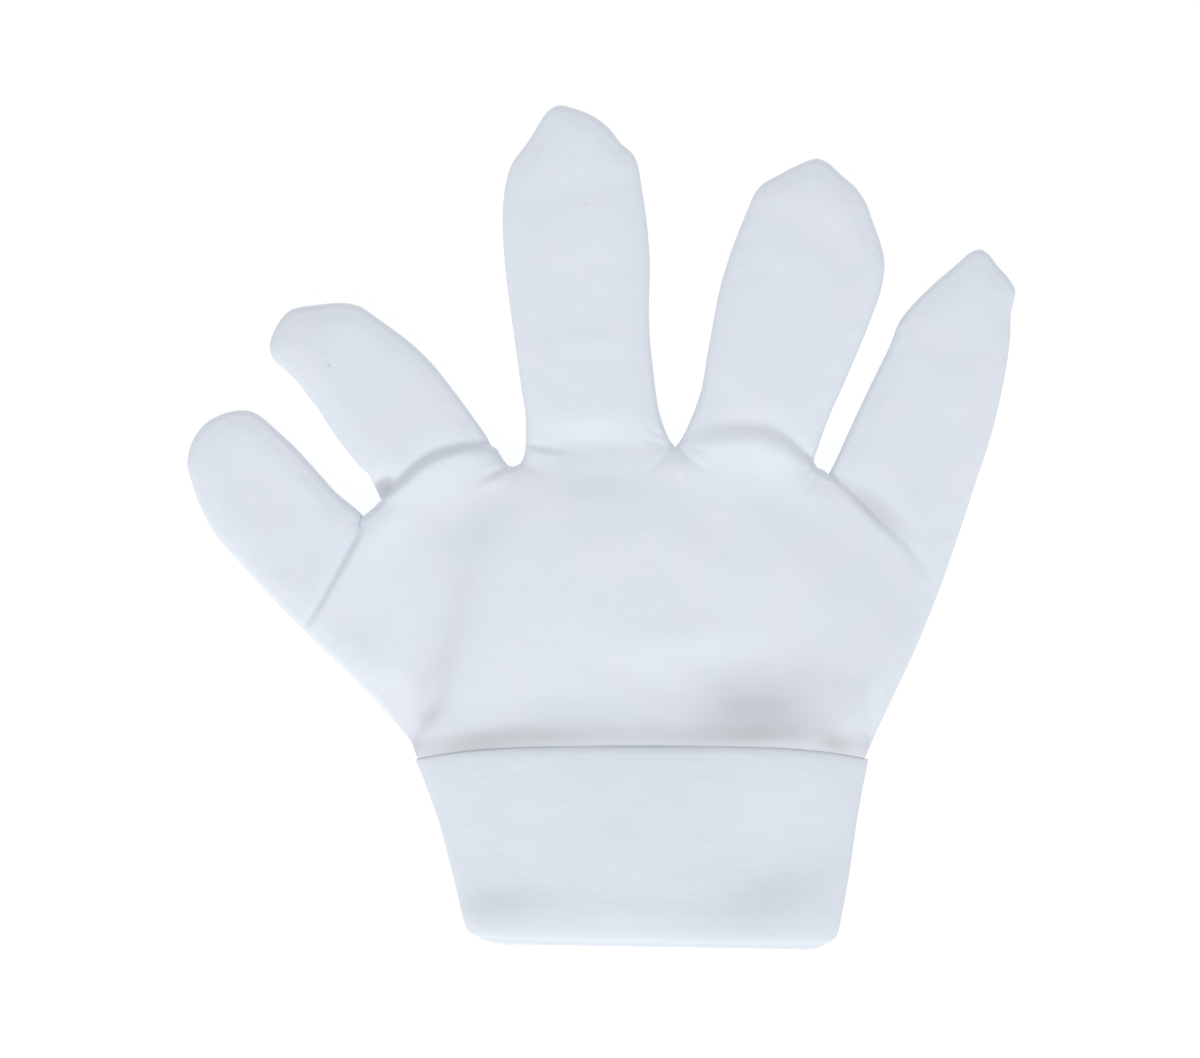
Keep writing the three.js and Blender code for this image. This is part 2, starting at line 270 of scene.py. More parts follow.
def cuff_knit_material():
    """Brushed knit: fine streaks round the cuff over a soft unevenness."""
    material = bpy.data.materials.new("cuff_knit")
    tree, shader = nodes_of(material)
    place = node(tree, "ShaderNodeUVMap", uv_map="cut").outputs["UV"]
    streaks = noise(tree, place, STREAKS, 5.0)
    patches = noise(tree, place, PATCHES, 4.0)
    both = node(tree, "ShaderNodeMix", {0: 0.5, 2: streaks, 3: patches}, data_type="FLOAT").outputs[0]
    colour = mixed(tree, both, *CUFF_COLOURS)
    # The piece's painted shade darkens the cloth's colour.
    tree.links.new(darkened(tree, colour, painted_shade_of(tree)), shader.inputs["Base Color"])
    bump = node(tree, "ShaderNodeBump", {"Height": streaks, "Distance": 0.00018, "Strength": 0.5})
    tree.links.new(bump.outputs["Normal"], shader.inputs["Normal"])
    shader.inputs["Roughness"].default_value = 0.9
    shader.inputs["Specular IOR Level"].default_value = 0.2
    shader.inputs["Sheen Weight"].default_value = 0.2
    shader.inputs["Sheen Roughness"].default_value = 0.5
    return material


cuff = banded("cuff_band", rings, CUFF_PAINTED_SHADE)
cuff.data.materials.append(cuff_knit_material())
edge_share = cuff.vertex_groups.new(name="share")
for row, y in enumerate([*outer_rows, *[FOLD_Y] * (len(rings) - len(outer_rows))]):
    share = THIN_EDGE + (1 - THIN_EDGE) * min((CUFF_TOP - y) / THIN_OVER, 1)
    edge_share.add(list(range(row * AROUND, (row + 1) * AROUND)), share, "REPLACE")
give_thickness(cuff, CUFF_CLOTH, "share")
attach(cuff, "root")
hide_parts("cuff")


# Back of the hand
# The upper of two panels of smooth white stretch knit, cut to one outline with five fingers and sewn to the
# lower one round its edge. It puffs up over the palm, whose edge stands over the roots of the fingers.
CLOTH = 0.8  # thickness of the knit

# The outline in millimetres, from the wrist up round the thumb and back down beside the little finger. Each
# run is a smooth curve, and a new run starts where the seam has a corner.
OUTLINE = [
    [(-39.1, -65), (-41, -60), (-42.6, -57), (-44, -54.2), (-45, -51.2), (-47, -48.6), (-50, -45.1),
     (-55, -39.7), (-60, -34.6), (-65, -29.9), (-70, -25.1), (-75, -20.1), (-80, -14.8), (-85, -9.4),
     (-90, -3.8), (-93.2, 0.6), (-95.4, 5), (-97.3, 10), (-98.7, 15.5), (-98, 19.6), (-96.5, 22.7),
     (-94.4, 25.2), (-91.4, 27.1), (-88, 28.2), (-85.2, 28.5), (-82.8, 28), (-80, 26.1), (-77, 23.4),
     (-73, 19.7), (-69.5, 15.9), (-66, 12), (-63.4, 9.1), (-60, 6.2), (-58, 4.6), (-56.6, 3.2)],
    [(-56.6, 3.2), (-54.5, 4.9), (-52.4, 6.9)],
    [(-52.4, 6.9), (-53.6, 9.6), (-55.2, 12.9)],
    [(-55.2, 12.9), (-57.6, 15.1), (-61.5, 19.8), (-64.6, 24.2), (-67.4, 28.6), (-70, 32), (-72, 34.6),
     (-74.8, 37.4), (-77.6, 39.9), (-78.8, 41.8), (-79, 44), (-78.1, 47), (-76.4, 50), (-74.4, 52.1),
     (-71.8, 53.1), (-68, 53.6), (-63.5, 54.1), (-60, 54), (-57.2, 53.2), (-52.5, 50), (-45, 44.4),
     (-40, 39.5), (-34, 31.9), (-30, 26.4), (-27.4, 22.7), (-26, 20.1)],
    [(-26, 20.1), (-24.7, 19.3), (-23.1, 16.7), (-21.4, 15.1), (-19.2, 15.7), (-18.1, 18), (-17.8, 23),
     (-18, 28), (-18.8, 33), (-19.8, 40), (-21.2, 50), (-22.5, 60), (-23.3, 70), (-23.2, 78),
     (-22.2, 84.4), (-20.6, 88.2), (-18.6, 90.8), (-16.5, 93.8), (-14.2, 97.6), (-12.2, 100.2),
     (-9.8, 101.3), (-5.2, 100.3), (-1, 98.4), (2.6, 95.4), (5, 92.3), (7.8, 89.8), (9.1, 87), (10, 82),
     (11.3, 73), (12, 64), (11.8, 52), (12, 46), (12.8, 38), (14, 29), (15.2, 24.8), (16.7, 21.3),
     (18, 19.7)],
    [(18, 19.7), (19.6, 21.9), (22, 27), (24.2, 33.5), (25.5, 41), (27.1, 50), (28.6, 57.5), (30.8, 65),
     (33, 71), (35.4, 76.8), (36.9, 80.2), (38.8, 82.5), (42.5, 84.6), (46, 86.5), (50, 88.2),
     (52.2, 88.6), (54.6, 87.5), (58, 84.4), (61, 81.8), (63.6, 78), (65.2, 73.7), (67, 68.6),
     (68.1, 63.5), (67.2, 57), (65, 50.6), (62.6, 44.6), (58.5, 35), (54.5, 26), (52.2, 19.6),
     (51.2, 16.3), (52, 14.7)],
    [(52, 14.7), (53.4, 14.2), (54.7, 13.2)],
    [(54.7, 13.2), (56, 15.6), (60, 24.4), (65, 35), (69.5, 44.3), (71.6, 49.6), (74.6, 53.5), (80, 58.9),
     (85.5, 63.6), (88.5, 66.2), (90.8, 66.9), (92.6, 66), (95, 63), (98, 59.6), (99.3, 57), (98.9, 54.2),
     (98.3, 51.4), (98.1, 46), (97.4, 40), (95.7, 31), (93, 20.5), (90, 11.5), (86.4, 0.5), (83, -9.5),
     (79.2, -19.6), (75, -29.6), (70.1, -40), (66.3, -48), (63.8, -53.8), (62.6, -57), (61.8, -60),
     (60.8, -65)],
]

# The edge of the palm over the roots of the fingers, from the thumb's side to the little finger's.
# rise: how far the palm stands over the finger beside it. width: the width over which its edge rounds off.
# roll: how much higher the edge is than the palm behind it. crease, spread: how deep the crease beside it is,
# and how far that spreads over the finger. soft: 1 where the edge is a slope, 0 where it is a step.
PALM_EDGE = [
    dict(x=-71.5, y=-25, rise=0.2, width=4, roll=0, crease=0.2, spread=1, soft=0),
    dict(x=-69, y=-21.4, rise=0.4, width=2, roll=0, crease=0.9, spread=1, soft=0),
    dict(x=-66.2, y=-16.8, rise=0.6, width=1.6, roll=0.1, crease=1.3, spread=1, soft=0),
    dict(x=-63, y=-11, rise=0.8, width=1.6, roll=0.2, crease=1.4, spread=1, soft=0),
    dict(x=-60, y=-5.6, rise=0.9, width=1.6, roll=0.3, crease=1.5, spread=1.1, soft=0),
    dict(x=-57.7, y=-1.2, rise=1.1, width=1.6, roll=0.4, crease=1.6, spread=1.2, soft=0),
    dict(x=-56.6, y=3.2, rise=1.3, width=1.6, roll=0.5, crease=1.6, spread=1.4, soft=0),
    dict(x=-54.5, y=4.9, rise=1.4, width=1.6, roll=0.4, crease=1.2, spread=1.6, soft=0),
    dict(x=-52.4, y=6.9, rise=1.5, width=1.6, roll=0.4, crease=0.6, spread=1.4, soft=0),
    dict(x=-49, y=10, rise=1.7, width=1.6, roll=0.5, crease=0.8, spread=1.6, soft=0),
    dict(x=-45.5, y=13.4, rise=1.7, width=1.8, roll=0.5, crease=0.95, spread=1.8, soft=0),
    dict(x=-42, y=16.2, rise=1.7, width=2.2, roll=0.6, crease=0.95, spread=1.8, soft=0),
    dict(x=-38, y=18.2, rise=1.6, width=2.4, roll=0.6, crease=0.65, spread=1.5, soft=0),
    dict(x=-33, y=19.6, rise=1.4, width=2.6, roll=0.6, crease=0.45, spread=1.4, soft=0),
    dict(x=-29, y=20.2, rise=1.2, width=3, roll=0.5, crease=0.4, spread=1.5, soft=0),
    dict(x=-26, y=20.1, rise=1.2, width=3, roll=0.4, crease=0.7, spread=1.8, soft=0),
    dict(x=-21.4, y=15.6, rise=1, width=5, roll=0.2, crease=0.3, spread=3, soft=0),
    dict(x=-16, y=18, rise=0.5, width=11, roll=0, crease=0, spread=4, soft=0),
    dict(x=-8, y=18.8, rise=0.3, width=14, roll=0, crease=0, spread=5, soft=0),
    dict(x=2, y=18.8, rise=0.3, width=14, roll=0, crease=0, spread=5, soft=0),
    dict(x=12, y=19, rise=0.5, width=12, roll=0, crease=0.1, spread=4, soft=0),
    dict(x=18, y=19.7, rise=0.8, width=6, roll=0.3, crease=0.2, spread=3, soft=0.2),
    dict(x=21, y=21.9, rise=0.8, width=5, roll=0.2, crease=0.1, spread=3, soft=0.5),
    dict(x=25, y=24.4, rise=1.2, width=7, roll=0.5, crease=0.1, spread=3.2, soft=0.9),
    dict(x=30, y=26, rise=1.6, width=7.5, roll=0.8, crease=0.1, spread=3.2, soft=1),
    dict(x=36, y=26.2, rise=1.6, width=7.5, roll=0.9, crease=0.1, spread=3, soft=1),
    dict(x=40.5, y=24.9, rise=1.5, width=6.5, roll=0.9, crease=0.2, spread=2.8, soft=0.9),
    dict(x=44.5, y=21.9, rise=1.3, width=4.6, roll=0.8, crease=0.3, spread=2.2, soft=0.5),
    dict(x=48.5, y=18.4, rise=1.1, width=3, roll=0.5, crease=0.5, spread=1.6, soft=0.2),
    dict(x=52, y=14.8, rise=1, width=2, roll=0.5, crease=0.6, spread=1.6, soft=0),
    dict(x=54.7, y=13.1, rise=1, width=1.8, roll=0.5, crease=0.6, spread=1.8, soft=0),
    dict(x=58, y=10.4, rise=0.5, width=1.8, roll=0.2, crease=0.35, spread=3.4, soft=0),
    dict(x=61, y=7.5, rise=0.5, width=1.8, roll=0.2, crease=0.35, spread=4.6, soft=0),
    dict(x=65, y=3.4, rise=0.5, width=1.8, roll=0.2, crease=0.35, spread=5.2, soft=0),
    dict(x=69, y=-0.4, rise=0.4, width=2, roll=0.2, crease=0.25, spread=4, soft=0),
    dict(x=73, y=-4, rise=0.4, width=2.6, roll=0.1, crease=0.3, spread=2.6, soft=0),
    dict(x=76.5, y=-8.5, rise=0.3, width=5, roll=0.1, crease=0.3, spread=1.8, soft=0),
    dict(x=79.5, y=-14, rise=0.1, width=8, roll=0, crease=0, spread=2, soft=0),
]

FINGER_CROWN = 3.9  # the fingers' top above the seam
EDGE_ROUND = 7.0  # the cloth curves up over this width beside the seam
FLATNESS = 0.25  # below 1, it rises steeply at the seam and then flattens
HEEL_CROWN = 5.4  # the palm's top where it goes under the cuff
HEEL_Y, HEEL_LENGTH = -50.0, 18.0  # from here on it rises to its own height, over this length
LEAST_CROWN = 0.8  # every dent leaves at least this much above the seam
PAST_EDGE_RISE = 0.25  # past the cuff's edge the hand may come up at this slope
HEEL_FADE = 12.0  # over this length the palm's dents run out towards the cuff's edge
PALM_RISE = 2.2  # the middle of the palm above the fingers
PALM_ROUND = 24.0  # the width over which the palm's rise evens out
ROLL_CREST, ROLL_WIDTH = 1.8, 4.4  # where the rolled edge is highest, and how wide it is behind that
ROW_BLEND, ROW_FALL = 0.3, -4  # how each row of the palm's edge counts with the distance from it

# Soft dents in the palm and the finger roots, in the same columns as the cuff's.
DENTS = [
    dict(x=38, y=-39, turn=84, length=14, width=17, far=0.8, depth=3.0),  # hollow on the little finger's side
    dict(x=-14, y=-43.5, turn=88, length=26, width=6.5, far=1.8, depth=1.2),  # valley along the cuff
    dict(x=-31, y=-50.2, turn=84, length=9, width=3, far=0.8, depth=2.4),  # its deep end
    dict(x=62, y=-33, turn=110, length=12, width=6, depth=0.6),
    dict(x=56.5, y=-49.2, turn=75, length=3.4, width=3.4, depth=1.2),  # small pocket at the cuff
    dict(x=-52.6, y=10.8, turn=42, length=3.2, width=2.4, sharp=1.5, depth=1.3),  # pocket at the index finger
    dict(x=16, y=-27, turn=80, length=17, width=6, depth=-0.6),
    dict(x=-39.8, y=-33, turn=14, length=17, width=4.4, depth=2.1),  # long dent up from the cuff's corner
    dict(x=-30, y=-4, turn=8, length=20, width=8, depth=0.9),
    dict(x=-49, y=-14, turn=18, length=24, width=8, depth=-0.6),  # swell beside it, towards the thumb
    dict(x=-42.4, y=-46, turn=27, length=7, width=1.6, depth=1.6),  # short crease at the cuff's corner
    dict(x=2, y=0, turn=92, length=26, width=9, depth=0.4),  # the palm dips before the middle finger
    dict(x=-2, y=12.5, turn=90, length=14, width=4, depth=0.6),
    dict(x=-2, y=20.4, turn=92, length=13, width=5, far=0.7, depth=1.0),  # root of the middle finger
    dict(x=36, y=4, turn=92, length=16, width=9, far=1.3, depth=0.8),  # the palm dips before the ring finger
    dict(x=-38, y=2, turn=62, length=12, width=8, far=1.2, depth=0.8),  # and before the index finger
    dict(x=-25.6, y=13.4, turn=66, length=4.0, width=0.6, depth=0.55),  # puckers that run in from the corners
    dict(x=-24.8, y=11.6, turn=60, length=4.5, width=1.1, depth=-0.5),
    dict(x=-14.5, y=19.9, turn=100, length=4.5, width=0.7, depth=0.45),
    dict(x=-14, y=17.9, turn=99, length=4.5, width=0.9, depth=-0.4),
    dict(x=-15, y=14.4, turn=110, length=5.5, width=1.2, depth=0.3),
    dict(x=21.6, y=16.8, turn=130, length=4.2, width=0.6, depth=0.55),
    dict(x=22.4, y=18.9, turn=100, length=3.4, width=0.55, depth=0.3),
    dict(x=19.4, y=14.6, turn=165, length=4.2, width=0.9, depth=-0.4),
    dict(x=14.4, y=16.6, turn=222, length=4.2, width=0.8, depth=0.4),
    dict(x=13.2, y=23.2, turn=125, length=2.6, width=0.5, depth=0.35),
    dict(x=12.8, y=20.9, turn=105, length=2.6, width=0.5, depth=0.3),
    dict(x=50.6, y=11.4, turn=212, length=3.2, width=0.6, depth=0.6),
    dict(x=49.2, y=13.6, turn=240, length=3.0, width=0.6, depth=0.3),
]
PAINTED_LIGHT_AND_SHADE = [  # painted shade, in the same columns; a negative depth is a painted highlight
    dict(x=-35.5, y=-22, turn=13, length=26, width=5, depth=0.065),
    dict(x=-27, y=5, turn=10, length=12, width=6, depth=0.03),
    dict(x=39, y=-45.5, turn=88, length=14, width=12, far=1.1, depth=0.095),
    dict(x=54, y=-36, turn=88, length=20, width=20, depth=0.05),
    dict(x=-22, y=-50.3, turn=87, length=13, width=3.6, sharp=1.5, depth=0.06),
    dict(x=-38.5, y=-33, turn=14, length=12, width=4, depth=0.025),
    dict(x=36, y=-39, turn=78, length=14, width=7, far=1.1, sharp=1.3, depth=0.06),
    dict(x=22, y=-51.5, turn=88, length=12, width=4, depth=0.045),
    dict(x=8, y=-44, turn=90, length=44, width=10, depth=0.055),
    dict(x=-20, y=-52.6, turn=86, length=22, width=4.2, depth=0.1),
    dict(x=-32, y=-53.4, turn=84, length=9, width=3.8, depth=0.13),
    dict(x=-42.5, y=-48.5, turn=27, length=8, width=1.6, depth=0.04),
    dict(x=56.2, y=-51.4, turn=112, length=3.8, width=2.2, depth=0.14),
    dict(x=-52.0, y=10.0, turn=48, length=3.3, width=1.8, sharp=2.5, depth=0.26),  # painted shade in the pocket at the index finger
    dict(x=66.4, y=4.4, turn=130, length=9, width=2.6, sharp=1.3, depth=0.13),  # painted shadow of the palm's edge on the little finger
    dict(x=-2, y=9, turn=90, length=14, width=3, depth=0.015),
    dict(x=36, y=17.5, turn=94, length=13, width=6, far=0.7, depth=-0.085),
    dict(x=-24, y=-43, turn=86, length=14, width=4, depth=-0.025),
    dict(x=18, y=-28, turn=80, length=16, width=6, depth=-0.015),
    dict(x=38, y=32, turn=90, length=12, width=5, depth=-0.02),
    dict(x=-4, y=72, turn=0, length=42, width=14, depth=-0.018),
    dict(x=50, y=60, turn=20, length=30, width=14, depth=-0.01),
    dict(x=-5, y=26, turn=90, length=12, width=4, depth=-0.035),
    dict(x=-38, y=12, turn=66, length=10, width=6, far=0.6, depth=-0.03),
    dict(x=-50, y=-6, turn=20, length=16, width=8, depth=-0.05),
    dict(x=-72, y=47, turn=70, length=9, width=7, depth=0.03),
]
CUFF_SHADOW, CUFF_SHADOW_AT, CUFF_SHADOW_REACH = 0.1, 3.0, 2.8  # a strip of painted shadow along the cuff's edge
BASE_SHADE = 0.07  # all the cloth is painted that much darker, so that painted highlight can make places lighter
RIM_HIGHLIGHT, RIM_HIGHLIGHT_REACH = -0.06, 1.6  # painted highlight on the cloth that turns down to the seams of the far sides, where it faces away from the lamp
SPOTS = [  # small dark specks on the fingers
    dict(x=-64.6, y=39.0, radius=0.7, depth=0.22),
    dict(x=-66.0, y=42.5, radius=2.2, depth=0.04),
    dict(x=-3.2, y=77.6, radius=0.8, depth=0.10),
    dict(x=-1.6, y=78.6, radius=0.5, depth=0.08),
]
HAND_COLOURS = (0.766, 0.854, 0.93, 1), (0.822, 0.844, 0.932, 1)
WEBS = [(-54.5, 5), (-21.4, 15.1), (18, 19.7), (53, 14)]  # the corners between the fingers


def curve_through(points, spacing):
    """Points on a smooth curve through the given ones, about that far apart."""
    p = np.array(points, float)
    p = np.vstack([2 * p[0] - p[1], p, 2 * p[-1] - p[-2]])
    out = []
    for a, b, c, d in zip(p[:-3], p[1:-2], p[2:-1], p[3:]):
        gaps = [max(np.linalg.norm((v - u)[:2]), 1e-6) ** 0.5 for u, v in ((a, b), (b, c), (c, d))]
        knots = np.cumsum([0] + gaps)
        count = max(int(round(np.linalg.norm((c - b)[:2]) / spacing)), 1)
        t = np.linspace(knots[1], knots[2], count, endpoint=False)[:, None]

        def mix(u, v, i, j):
            return ((knots[j] - t) * u + (t - knots[i]) * v) / (knots[j] - knots[i])

        low = mix(mix(a, b, 0, 1), mix(b, c, 1, 2), 0, 2)
        high = mix(mix(b, c, 1, 2), mix(c, d, 2, 3), 1, 3)
        out.append(mix(low, high, 1, 2))
    return np.vstack(out + [p[-2:-1]])


def tree_of(points):
    """The points, sorted for finding the nearest one."""
    tree = KDTree(len(points))
    for k, (x, y) in enumerate(points):
        tree.insert((x, y, 0), k)
    tree.balance()
    return tree


def apart(points, others):
    """For each point, its distance to the nearest of the others."""
    tree = tree_of(others)
    return np.array([tree.find((x, y, 0))[2] for x, y in points])


def nearest_on(line, points, closed=False):
    """For each point, its distance to a line of close-set points, and the nearest place on that line."""
    tree, last = tree_of(line), len(line) - 1
    near = np.array([tree.find((x, y, 0))[1] for x, y in points])
    distance, place = np.full(len(points), np.inf), np.zeros((len(points), 2))
    for step in (-1, 0):
        first = (near + step) % (last + 1) if closed else np.clip(near + step, 0, last - 1)
        start, along = line[first], line[(first + 1) % (last + 1)] - line[first]
        share = ((points - start) * along).sum(1) / np.maximum((along ** 2).sum(1), 1e-12)
        foot = start + np.clip(share, 0, 1)[:, None] * along
        far = np.linalg.norm(points - foot, axis=1)
        place = np.where((far < distance)[:, None], foot, place)
        distance = np.minimum(distance, far)
    return distance, place


def inside(loop, points):
    """Which points lie inside a closed loop."""
    x0, y0 = loop.T
    x1, y1 = np.roll(loop, -1, 0).T
    found = []
    for block in np.array_split(points, max(len(points) // 1000, 1)):
        x, y = block[:, :1], block[:, 1:]
        crosses = (y0 > y) != (y1 > y)
        with np.errstate(divide="ignore", invalid="ignore"):
            left = x < x0 + (y - y0) * (x1 - x0) / (y1 - y0)
        found.append((crosses & left).sum(1) % 2 == 1)
    return np.concatenate(found)


def rounded(value, power=0.5):
    """0 at 0 and 1 from 1 on, rising steeply at first."""
    return (1 - (1 - np.clip(value, 0, 1)) ** 2) ** power


def hexagonal(spacing):
    """An even net of points over the whole hand."""
    columns = np.arange(-101, 102, spacing)
    lines = np.arange(-66, 104, spacing * math.sqrt(3) / 2)
    return np.array([(x + (spacing / 2 if k % 2 else 0), y) for k, y in enumerate(lines) for x in columns])


NET, FINE_NET = 1.1, 0.55  # spacing of the points on the cloth, and beside creases and corners
NET_GAP = 0.6  # points of a net keep at least this share of its spacing from those of others
SEAM_STEP = 0.55  # spacing of the points along the seam
WRIST_POINTS = 106  # how many points close it at the wrist, counting the seam's two ends
RIM_ROWS = (0.1, 0.35, 0.8, 1.4)  # rows of points beside the seam, where the cloth climbs steeply
RIM_KEEP = 0.93  # a point stays if all of the seam is at least this share of its row's distance away
RIM_GAP = 0.2  # the rows' points are at least this far apart
BY_CREASE, BY_WEB = 2.6, 9  # the fine net reaches this far from the creases and the corners
BY_CUFF = (-1.0, 1.8)  # and between these two places past the cuff's edge
TUCK = 0.45  # the sewn edge is drawn in by this much

seam_line = np.vstack([curve_through(run, SEAM_STEP)[:-1] for run in OUTLINE] + [[OUTLINE[-1][-1]]])
wrist_line = np.linspace(seam_line[-1], seam_line[0], WRIST_POINTS)[1:-1]
outline = np.vstack([seam_line, wrist_line])
ahead = np.roll(outline, -1, 0) - np.roll(outline, 1, 0)
inward = np.column_stack([ahead[:, 1], -ahead[:, 0]]) / np.linalg.norm(ahead, axis=1)[:, None]

edge_line = curve_through([[r[key] for key in r] for r in PALM_EDGE], 1.0)
palm_loop = np.vstack([[(-90, -80), (-82, -40)], edge_line[:, :2], [(90, -30), (90, -80)]])

# The net of the cloth: rows along the seam, a fine net beside creases and corners, an even one elsewhere.
rim = np.empty((0, 2))
for distance in RIM_ROWS:
    row = (outline + inward * distance)[:len(seam_line)]
    row = row[inside(outline, row)]
    row = row[nearest_on(outline, row, closed=True)[0] > RIM_KEEP * distance]
    row = row[np.append(np.linalg.norm(np.diff(row, axis=0), axis=1) > RIM_GAP, True)]
    rim = np.vstack([rim, row if len(rim) == 0 else row[apart(row, rim) > RIM_GAP]])


def past_cuff(xy):
    """How far each point lies past the cuff's upper edge, and where it lies across the cuff, from -1 to 1."""
    x, y = xy.T
    left, right, _ = cuff_row(y)
    across = np.clip((x - (left + right) / 2) / ((right - left) / 2), -0.999, 0.999)
    return y - CUFF_TOP - CUFF_BOW * (1 - across ** BOW_POWER), across


def in_fine_zone(points):
    """Which points lie beside a crease or the cuff's edge, or near a corner between fingers."""
    beside_crease = nearest_on(edge_line[:, :2], points)[0] < BY_CREASE
    past_edge = past_cuff(points)[0]
    beside_cuff = (past_edge > BY_CUFF[0]) & (past_edge < BY_CUFF[1])
    return beside_crease | beside_cuff | (apart(points, np.array(WEBS)) < BY_WEB)


nets = []
for spacing, fine in ((NET, False), (FINE_NET, True)):
    net = hexagonal(spacing)
    net = net[in_fine_zone(net) == fine]
    net = net[inside(outline, net)]
    net = net[nearest_on(outline, net, closed=True)[0] > NET_GAP * spacing]
    nets.append(net[apart(net, rim) > NET_GAP * spacing])
nets[0] = nets[0][apart(nets[0], nets[1]) > NET_GAP * FINE_NET]


def netted(loop, inner):
    """A net of triangles over a loop's points and those inside it."""
    points = [Vector(p) for p in np.vstack([loop, inner])]
    pairs = [(i, (i + 1) % len(loop)) for i in range(len(loop))]
    points, _, triangles, *_ = delaunay_2d_cdt(points, pairs, [], 1, 1e-6)
    return np.array([tuple(p) for p in points]), triangles


laid, triangles = netted(outline, np.vstack([rim] + nets))
on_seam = np.arange(len(laid)) < len(seam_line)
from_seam, seam_place = nearest_on(seam_line, laid)

# Where each point was on the cut cloth, which is larger than the glove by what it needs to climb at the seam.
reach = np.linspace(0, EDGE_ROUND, 600)
profile = FINGER_CROWN * rounded(reach / EDGE_ROUND, FLATNESS)
spare = np.append(0, np.cumsum(np.hypot(np.diff(reach), np.diff(profile)))) - reach
outward = (seam_place - laid) / np.maximum(from_seam, 1e-6)[:, None]
outward[on_seam] = -inward[:len(seam_line)]
cut = laid + outward * np.interp(from_seam, reach, spare[-1] - spare)[:, None]
laid[on_seam] += inward[:len(seam_line)] * TUCK


def back_height(xy, from_edge):
    """Height of the back of the glove above the seam."""
    to_rows = np.linalg.norm(xy[:, None] - edge_line[None, :, :2], axis=2)
    weight = (to_rows + ROW_BLEND) ** ROW_FALL
    rise, width, roll, crease, spread, soft = (weight @ edge_line[:, 2:] / weight.sum(1)[:, None]).T
    to_edge = nearest_on(edge_line[:, :2], xy)[0]
    on_palm = inside(palm_loop, xy)
    lip = (1 - soft) * rounded(to_edge / width) + soft * ease(to_edge / width)
    even = ease(to_edge / PALM_ROUND)
    rolled = roll * np.exp(-(np.maximum(to_edge - ROLL_CREST, 0) / ROLL_WIDTH) ** 2)
    palm = FINGER_CROWN - crease * (1 - lip) + (rise + rolled) * lip + (PALM_RISE - rise) * even
    finger = FINGER_CROWN - crease * np.exp(-(to_edge / spread) ** 2)
    crown = np.where(on_palm, palm, finger)
    # Towards the wrist the palm comes down a little to go in under the cuff.
    crown = HEEL_CROWN + (crown - HEEL_CROWN) * ease((xy[:, 1] - HEEL_Y) / HEEL_LENGTH)
    dents = dents_at(DENTS, xy) * np.clip(past_cuff(xy)[0] / HEEL_FADE, 0, 1)
    free = np.maximum(crown - dents, LEAST_CROWN) * rounded(from_edge / EDGE_ROUND, FLATNESS)
    return np.minimum(free, below_cuff(xy))


def below_cuff(xy):
    """The most that the hand may rise above the seam so as to lie inside the cuff; past its edge, more."""
    past_edge, across = past_cuff(xy)
    crown = cuff_row(CUFF_TOP + past_edge)[2]
    layers = (CUFF_CLOTH + CLEAR) * (THIN_EDGE + (1 - THIN_EDGE) * np.clip(-past_edge / THIN_OVER, 0, 1))
    share = (1 - across ** 2) ** (CUFF_FULLNESS / 2)
    inside_cuff = (crown - dents_at(CUFF_DENTS, xy)) * share - layers
    return inside_cuff + PAST_EDGE_RISE * np.maximum(past_edge, 0)


def settled(points, triangles, keep, rounds):
    """Heights evened out over the net, except where keep is true."""
    corners = np.array(triangles)
    pairs = np.vstack([corners[:, [0, 1]], corners[:, [1, 2]], corners[:, [2, 0]]])
    pairs = np.vstack([pairs, pairs[:, ::-1]])
    count = np.bincount(pairs[:, 0], minlength=len(points))
    height = points.copy()
    for _ in range(rounds):
        mean = np.bincount(pairs[:, 0], height[pairs[:, 1]], len(points)) / count
        height = np.where(keep, height, height + 0.5 * (mean - height))
    return height


EVEN_FROM = 2.5  # nearer to the seam, heights aren't evened out
height = back_height(laid, from_seam)
height[on_seam] = 0
height = settled(height, triangles, from_seam < EVEN_FROM, 3)


def cloth_piece(name, points, faces, flat, from_seam, painted_shading):
    """A mesh object from points in millimetres, with the place of each on the cut cloth as its UV."""
    bm = bmesh.new()
    uv = bm.loops.layers.uv.new("cut")
    seam, painted_shade = bm.verts.layers.float.new("from_seam"), bm.verts.layers.float.new("painted_shade")
    made = [bm.verts.new(Vector(p) * MM) for p in points]
    for vert, distance, share in zip(made, from_seam, painted_shading):
        vert[seam], vert[painted_shade] = distance * MM, share
    for corners in faces:
        bm.faces.new([made[i] for i in corners])
    bm.verts.index_update()
    for face in bm.faces:
        face.smooth = True
        for loop in face.loops:
            loop[uv].uv = Vector(flat[loop.vert.index]) * MM
    mesh = bpy.data.meshes.new(name)
    bm.to_mesh(mesh)
    bm.free()
    piece = bpy.data.objects.new(name, mesh)
    bpy.context.scene.collection.objects.link(piece)
    return piece


ALLOWANCE = (1.6, 2.6)  # the sewn edges lie inside, end this far from the seam, and show through
MOTTLE, UNEVENNESS = (60, 60, 60), (350, 350, 350)  # how often they repeat in a metre


def fading(tree, value, start, end, most):
    """The most up to one value, nothing from another one on, smooth between them."""
    limits = {"From Min": start, "From Max": end, "To Min": most, "To Max": 0.0}
    made = node(tree, "ShaderNodeMapRange", {"Value": value, **limits}, interpolation_type="SMOOTHSTEP")
    return made.outputs["Result"]


